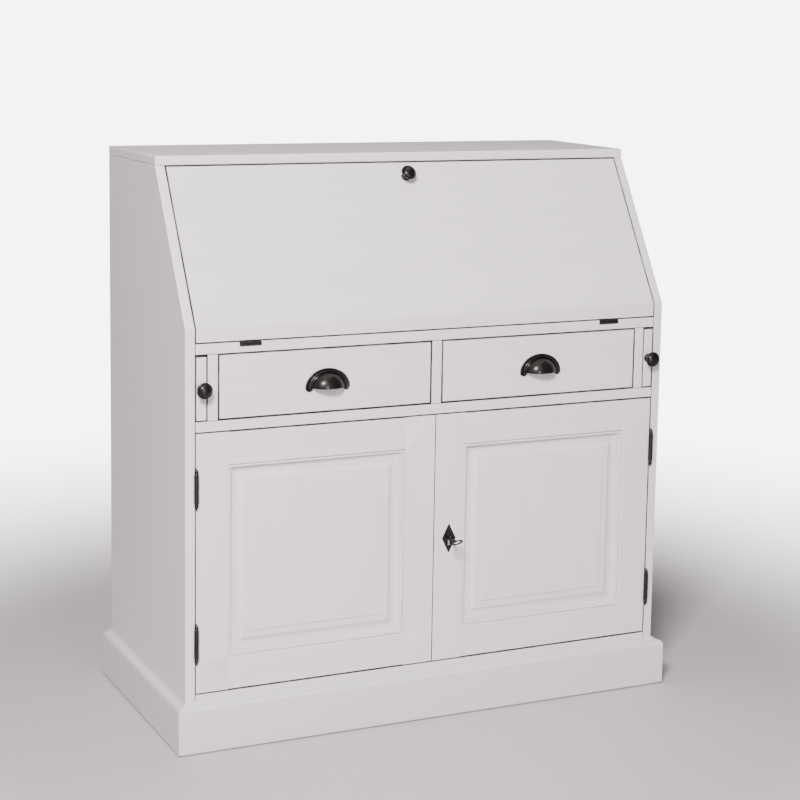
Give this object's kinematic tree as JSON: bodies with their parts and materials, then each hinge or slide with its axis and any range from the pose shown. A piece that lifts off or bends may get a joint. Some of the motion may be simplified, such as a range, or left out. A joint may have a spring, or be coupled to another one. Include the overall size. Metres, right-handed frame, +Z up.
{
  "type": "secretary desk",
  "caption": "Slant-front writing desk with a drop flap on pull-out lopers, drawers with cup pulls and a panelled cupboard on a plinth.",
  "frame": {"origin": "on the floor, under the centre of the bounding box", "axes": "+X to the user's right when facing the desk, +Y from the front to the back, +Z up; the doors and drawers face -Y"},
  "size_m": [1.038, 0.5164, 1.084],
  "materials": {
    "paint": "satin warm grey paint over pine, faint grain",
    "pine": "bare planed pine",
    "dark_bronze": "blackened bronze, polished where hands touch",
    "lock_steel": "dull steel"
  },
  "bodies": {
    "carcass": {"side_panel_left": "paint", "side_panel_right": "paint", "top_board": "paint", "back_panel": "paint", "drawer_deck": "paint", "cupboard_bottom": "paint", "cupboard_shelf": "paint", "divider_left": "paint", "divider_right": "paint", "divider_centre": "paint", "writing_board": "paint", "gallery_shelf": "paint", "flap_stop_rail": "paint", "plinth_front": "paint", "plinth_left": "paint", "plinth_right": "paint", "flap_hinge_left_fixed": "dark_bronze", "flap_hinge_right_fixed": "dark_bronze", "door_left_upper_hinge_fixed": "dark_bronze", "door_left_lower_hinge_fixed": "dark_bronze", "door_right_upper_hinge_fixed": "dark_bronze", "door_right_lower_hinge_fixed": "dark_bronze"},
    "flap": {"flap_panel": "paint", "flap_knob": "dark_bronze", "flap_hinge_left_moving": "dark_bronze", "flap_hinge_right_moving": "dark_bronze"},
    "loper_left_bar": {"loper_left": "paint", "loper_knob_left": "dark_bronze"},
    "loper_right_bar": {"loper_right": "paint", "loper_knob_right": "dark_bronze"},
    "drawer_left": {"drawer_left_front": "paint", "drawer_left_inner_wall": "pine", "drawer_left_outer_wall": "pine", "drawer_left_back": "pine", "drawer_left_bottom": "pine", "cup_pull_left": "dark_bronze"},
    "drawer_right": {"drawer_right_front": "paint", "drawer_right_inner_wall": "pine", "drawer_right_outer_wall": "pine", "drawer_right_back": "pine", "drawer_right_bottom": "pine", "cup_pull_right": "dark_bronze"},
    "door_left": {"door_left_hinge_stile": "paint", "door_left_meeting_stile": "paint", "door_left_top_rail": "paint", "door_left_bottom_rail": "paint", "door_left_panel": "paint", "door_left_upper_hinge_moving": "dark_bronze", "door_left_lower_hinge_moving": "dark_bronze"},
    "door_right": {"door_right_hinge_stile": "paint", "door_right_meeting_stile": "paint", "door_right_top_rail": "paint", "door_right_bottom_rail": "paint", "door_right_panel": "paint", "door_right_upper_hinge_moving": "dark_bronze", "door_right_lower_hinge_moving": "dark_bronze", "lock_case": "lock_steel", "escutcheon": "dark_bronze"},
    "bolt": {"lock_bolt": "lock_steel"},
    "key": {"key": "dark_bronze"}
  },
  "joints": [
    {"name": "flap_drop", "type": "hinge", "parent": "carcass", "child": "flap", "pos_m": [0, -0.2118, 0.75618], "axis": [1, 0, 0], "range_deg": [0, 121.6]},
    {"name": "loper_left_slide", "type": "slide", "parent": "carcass", "child": "loper_left_bar", "axis": [0, -1, 0], "range_m": [0, 0.28]},
    {"name": "loper_right_slide", "type": "slide", "parent": "carcass", "child": "loper_right_bar", "axis": [0, -1, 0], "range_m": [0, 0.28]},
    {"name": "drawer_left_slide", "type": "slide", "parent": "carcass", "child": "drawer_left", "axis": [0, -1, 0], "range_m": [0, 0.29]},
    {"name": "drawer_right_slide", "type": "slide", "parent": "carcass", "child": "drawer_right", "axis": [0, -1, 0], "range_m": [0, 0.29]},
    {"name": "door_left_swing", "type": "hinge", "parent": "carcass", "child": "door_left", "pos_m": [-0.4804, -0.2166, 0.354], "axis": [0, 0, -1], "range_deg": [0, 170]},
    {"name": "door_right_swing", "type": "hinge", "parent": "carcass", "child": "door_right", "pos_m": [0.4804, -0.2166, 0.354], "axis": [0, 0, 1], "range_deg": [0, 170]},
    {"name": "key_turn", "type": "hinge", "parent": "door_right", "child": "key", "pos_m": [0.032, -0.2118, 0.352], "axis": [0, -1, 0], "range_deg": [0, 180]},
    {"name": "bolt_throw", "type": "slide", "parent": "door_right", "child": "bolt", "axis": [-1, 0, 0], "range_m": [0, 0.012]}
  ],
  "couplings": [
    {"joint": "key_turn", "follows": "bolt_throw", "rad_per_m": 261}
  ]
}
